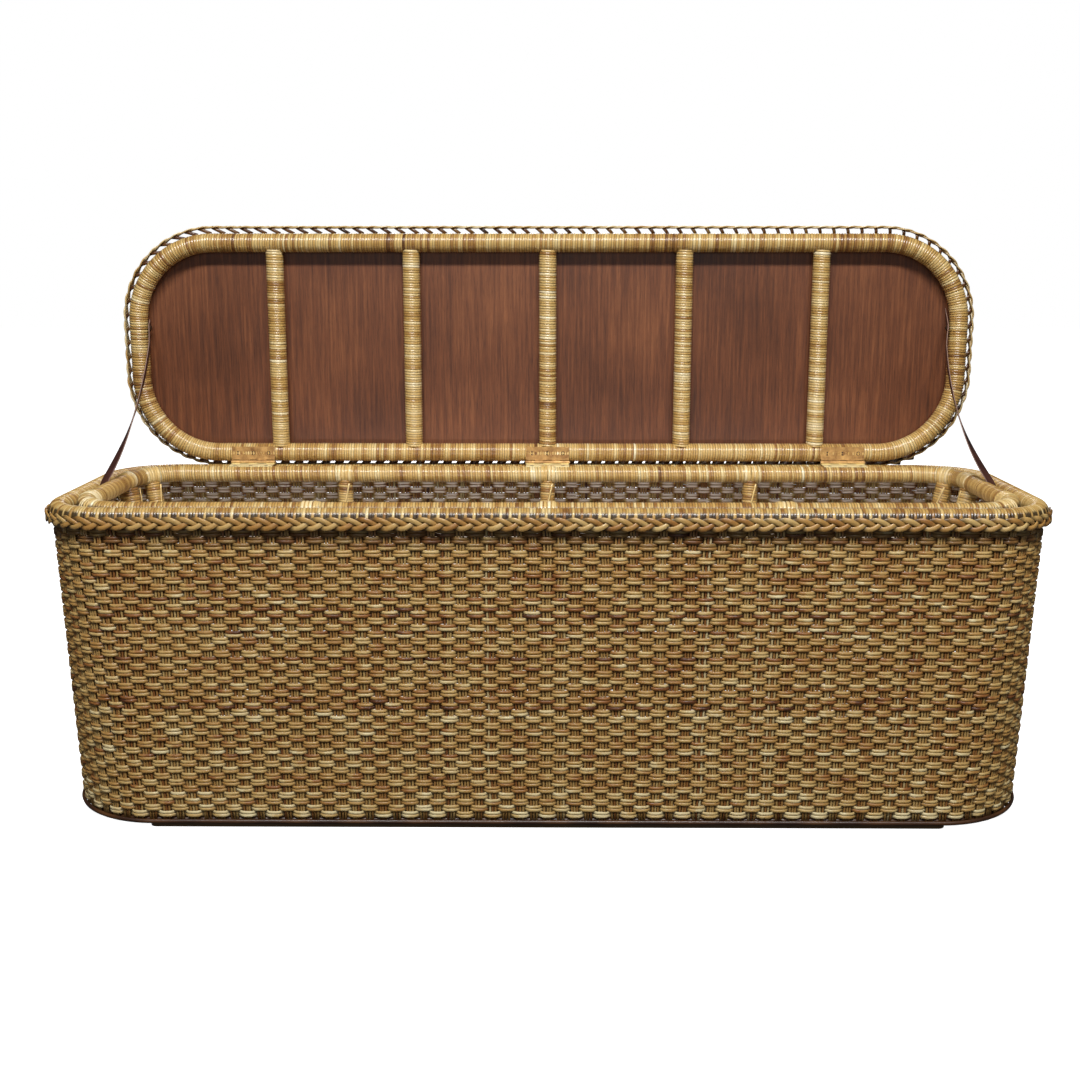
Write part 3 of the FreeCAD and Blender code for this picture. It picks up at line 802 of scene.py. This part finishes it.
def lid_braid():
    """The lid's open plait, and the ties that hold it to the lid's ring."""
    cane = Cane()
    loop, periods, low, high = plait(cane, "lid_braid", LID_PLAIT_PERIOD, 0.0062, 0.0023, 0.8, 0.3)
    cane.piece("lid_plait", "lid", PLAITED, "braid_cane", ["lid_braid"])
    ties = Cane()
    ring, ring_height, pole = ring_of("lid_ring")
    count = periods * 3
    start = (np.arange(count) + 0.15) / count
    step = np.linspace(0, 1, 7)
    share = start[:, None] + 0.5 / count * step[None, :]
    outside, _ = walk(loop, share)
    inside, _ = walk(grown(ring, pole), share)
    place = outside + (inside - outside) * step[None, :, None]
    place[..., 2] = (low + high) / 2 - 0.0015 - 0.003 * np.sin(math.pi * step)
    at_hinges = outside[:, :, 1] > loop.centre_y + loop.half_y - 0.02
    width = np.where(at_hinges, REAR_TIE_WIDTH, TIE_WIDTH)
    grid = strand_grid(place, np.broadcast_to(UP, place.shape), width, TIE_THICKNESS)
    # Painted shade on the ties, which lie in the gap between the plait and the ring.
    ties.add(grid, False, 0.2 + rng.normal(0, 0.1, (count, 1, 1)), 0.6)
    ties.piece("lid_plait_ties", "lid", PLAITED, "braid_cane", ["lid_braid_ties"])


rim_braid()
lid_braid()


# ---------------------------------------------------------------- the lid's woven outside

def reach_at(offset, half, other_half, corner):
    """Half the length of a rounded rectangle at an offset from its middle."""
    beyond = max(abs(offset) - (other_half - corner), 0)
    return half - corner + math.sqrt(max(corner ** 2 - beyond ** 2, 0))


def woven_lid_top():
    """Rows of paired weavers over triple stakes, cut to the lid's outline and closed by a bound edge."""
    points = vertices("lid_woven_top")
    low, high = points[:, 2].min(), points[:, 2].max()
    loop = rounded_loop(points)
    middle = high - LID_WEAVE_DROP
    rows = int(2 * (loop.half_y - LID_WEAVE_MARGIN) / ROW_PITCH)
    parts = [Cane() for _ in range(3)]
    for row in range(rows):
        offset = (row - (rows - 1) / 2) * ROW_PITCH
        reach = reach_at(offset, loop.half_x, loop.half_y, loop.corner) - 0.004
        stations = round(2 * reach / COLUMN_PITCH * SAMPLES)
        x = np.linspace(-reach, reach, stations)
        wave = weaver_wave(x / COLUMN_PITCH) * (-1 if row % 2 else 1)
        edge = EDGE_DIP * np.exp(-(reach - np.abs(x)) / EDGE_DIP_LENGTH)
        for side in (-1, 1):
            y = loop.centre_y + offset + side * WEAVER_APART
            centres = np.stack([x, np.full_like(x, y), middle + 0.8 * WEAVE_DEPTH * wave - edge], axis=-1)
            grid = strand_grid(centres, np.broadcast_to(UP, centres.shape), WEAVER_WIDTH, WEAVER_THICKNESS)
            tone = 0.55 + rng.normal(0, 0.13) + np.interp(x, x[::60], rng.normal(0, 0.12, len(x[::60])))
            parts[row * 3 // rows].add(grid, False, tone[:, None], weaver_shade_and_sheen(wave, painted_sheen=0.0))
    half_count = int(loop.half_x / COLUMN_PITCH)
    for column in range(-half_count, half_count + 1):
        for side in (-1, 0, 1):
            x = column * COLUMN_PITCH + side * STAKE_APART
            if abs(x) > loop.half_x - 0.008:
                continue
            reach = reach_at(x, loop.half_y, loop.half_x, loop.corner) - 0.005
            y = np.linspace(-reach, reach, 16)
            edge = EDGE_DIP * np.exp(-(reach - np.abs(y)) / EDGE_DIP_LENGTH)
            centres = np.stack([np.full_like(y, x), loop.centre_y + y, middle - edge], axis=-1)
            grid = strand_grid(centres, np.broadcast_to(UP, centres.shape), STAKE_WIDTH, STAKE_THICKNESS)
            # Painted shade: the stakes under the weavers are painted darker.
            parts[0].add(grid, False, 0.5 + rng.normal(0, 0.15), 0.25)
    share = np.arange(700) / 700
    for height, inward in ((low + 0.0026, 0.0030), (low + 0.0072, 0.0042)):
        centres, facing = walk(grown(loop, -inward), share)
        centres[:, 2] = height
        grid = strand_grid(centres, facing, 0.0055, 0.0055, 8, True)
        parts[2].add(grid, True, 0.35 + ripple(share, 0.2, 60, 1)[0][:, None], 0.25)
    for number, part in enumerate(parts):
        part.piece(f"lid_weave_{number + 1}", "lid", WOVEN, "woven_cane", [] if number else ["lid_woven_top"])


woven_lid_top()


# ---------------------------------------------------------------- straps

def strap(side, sign, bow, spare):
    """A strap from the lid's stud to the rim's: bowed inwards by bow, and twisted towards its foot.

    spare is how far it runs on past the lid's stud, as a share of the way between the studs.
    """
    node = f"strap_{side}"
    low, high = (np.array(corner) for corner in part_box(node))
    inner, outer = sorted((abs(low[0]), abs(high[0])))
    lid_stud, rim_stud = (np.mean(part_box(studs), axis=0) for studs in ("lid_strap_studs", "rim_strap_studs"))
    top = np.array([sign * (inner + 0.001), lid_stud[1], lid_stud[2]])
    bottom = np.array([sign * (outer - 0.001), rim_stud[1], rim_stud[2]])
    chord = bottom - top
    share = np.linspace(-spare, 1.03, STRAP_STATIONS)
    between = np.clip(share, 0, 1)
    arch = 4 * between * (1 - between)
    centres = top + chord * share[:, None]
    centres[:, 0] = top[0] + chord[0] * np.clip((share - 0.1) / 0.8, 0, 1) - sign * bow * arch
    centres[:, 2] -= STRAP_SAG * arch
    twist = (STRAP_LEAN + STRAP_TWIST * np.exp(-((share - 0.9) / 0.34) ** 2)) * sign
    along = unit(chord)
    edge_on = unit(np.cross(along, [1.0, 0.0, 0.0]))
    facing = np.cos(twist)[:, None] * np.array([1.0, 0.0, 0.0]) + np.sin(twist)[:, None] * edge_on
    grid = strand_grid(centres, facing, STRAP_WIDTH, STRAP_THICKNESS, 12, False, 0.45)
    edges = (np.abs(np.cos(np.arange(12) * math.pi / 6)) > 0.9).astype(float)
    leather = Cane()
    leather.add(grid, False, 0.5, edges)
    made = leather.piece(f"{node}_leather", None, LEATHER, "leather", [node])
    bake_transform(made)


strap("left", -1, 0.012, 0.035)
strap("right", 1, 0.018, 0.11)


# ---------------------------------------------------------------- carried-over CAD nodes

FINISHES = {
    "lid_panel": MAHOGANY, "bottom_board": PLYWOOD,
    "base_runner_": PALE_WOOD, "hinge_body_leaf_": BRASS, "hinge_lid_leaf_": BRASS, "hinge_pin_": BRASS,
    "hinge_body_screws": DARK_BRASS, "hinge_lid_screws": DARK_BRASS,
    "rim_strap_studs": DARK_BRASS, "lid_strap_studs": DARK_BRASS,
}
for start, material in FINISHES.items():
    for name, node in frame["nodes"].items():
        if name.startswith(start):
            node.data.materials.clear()
            node.data.materials.append(material)


# ---------------------------------------------------------------- floor, light and camera

def floor():
    mesh = bpy.data.meshes.new("floor")
    reach = 12.0
    corners = [(-reach, -reach, 0), (reach, -reach, 0), (reach, reach, 0), (-reach, reach, 0)]
    mesh.from_pydata(corners, [], [(0, 1, 2, 3)])
    made = bpy.data.objects.new("floor", mesh)
    bpy.context.scene.collection.objects.link(made)
    shader = Shader("floor")
    glow = {"Emission_Color": (1, 1, 1, 1), "Emission_Strength": 0.97}
    shader.set(Base_Color=(0.9, 0.9, 0.9, 1), Roughness=0.8, **glow)
    mesh.materials.append(shader.material)
    made.visible_diffuse = False
    made.visible_glossy = False


def area_light(name, place, aim, size, power):
    data = bpy.data.lights.new(name, "AREA")
    data.shape = "RECTANGLE"
    data.size, data.size_y = size
    data.energy = power
    made = bpy.data.objects.new(name, data)
    bpy.context.scene.collection.objects.link(made)
    made.visible_camera = False
    point_at(made, place, aim)


def point_at(thing, place, aim):
    direction = unit(np.array(aim) - np.array(place))
    thing.location = place
    thing.rotation_euler = (math.acos(-direction[2]), 0, math.atan2(-direction[0], direction[1]))


def surroundings():
    """White all round for the camera, and a softer white light on the trunk."""
    world = bpy.data.worlds.new("studio")
    bpy.context.scene.world = world
    world.use_nodes = True
    tree = world.node_tree
    seen = tree.nodes["Background"]
    seen.inputs["Color"].default_value = (1, 1, 1, 1)
    seen.inputs["Strength"].default_value = 1.0
    lit = tree.nodes.new("ShaderNodeBackground")
    lit.inputs["Color"].default_value = (1, 1, 1, 1)
    lit.inputs["Strength"].default_value = 0.05
    path = tree.nodes.new("ShaderNodeLightPath")
    mix = tree.nodes.new("ShaderNodeMixShader")
    tree.links.new(path.outputs["Is Camera Ray"], mix.inputs[0])
    tree.links.new(lit.outputs[0], mix.inputs[1])
    tree.links.new(seen.outputs[0], mix.inputs[2])
    tree.links.new(mix.outputs[0], tree.nodes["World Output"].inputs[0])


CAMERA_PLACE = (0.0027, -1.75, 0.7273)
CAMERA_LENS = 43.15
LOOKS_DOWN = 12.3             # degrees
LOOKS_LEFT = 0.42


def camera():
    data = bpy.data.cameras.new("camera")
    data.lens = CAMERA_LENS
    data.sensor_width = 36.0
    made = bpy.data.objects.new("camera", data)
    bpy.context.scene.collection.objects.link(made)
    made.location = CAMERA_PLACE
    made.rotation_euler = (math.radians(90 - LOOKS_DOWN), 0, math.radians(LOOKS_LEFT))
    bpy.context.scene.camera = made


floor()
# Each lamp's name, place, aim, size and power
area_light("key", (0, -1.95, 2.95), (0, 0.1, 0.6), (2.4, 0.3), 132)
area_light("front", (0, -3.2, 1.15), (0, 0, 0.4), (2.4, 0.9), 9)
area_light("inside", (0, -0.10, 0.385), (0, 0.18, 0.385), (1.1, 0.02), 0.5)
area_light("back", (0, 3.0, 1.9), (0, 0.2, 0.5), (2.4, 1.2), 45)
surroundings()
camera()
bpy.context.scene.view_settings.view_transform = "Standard"
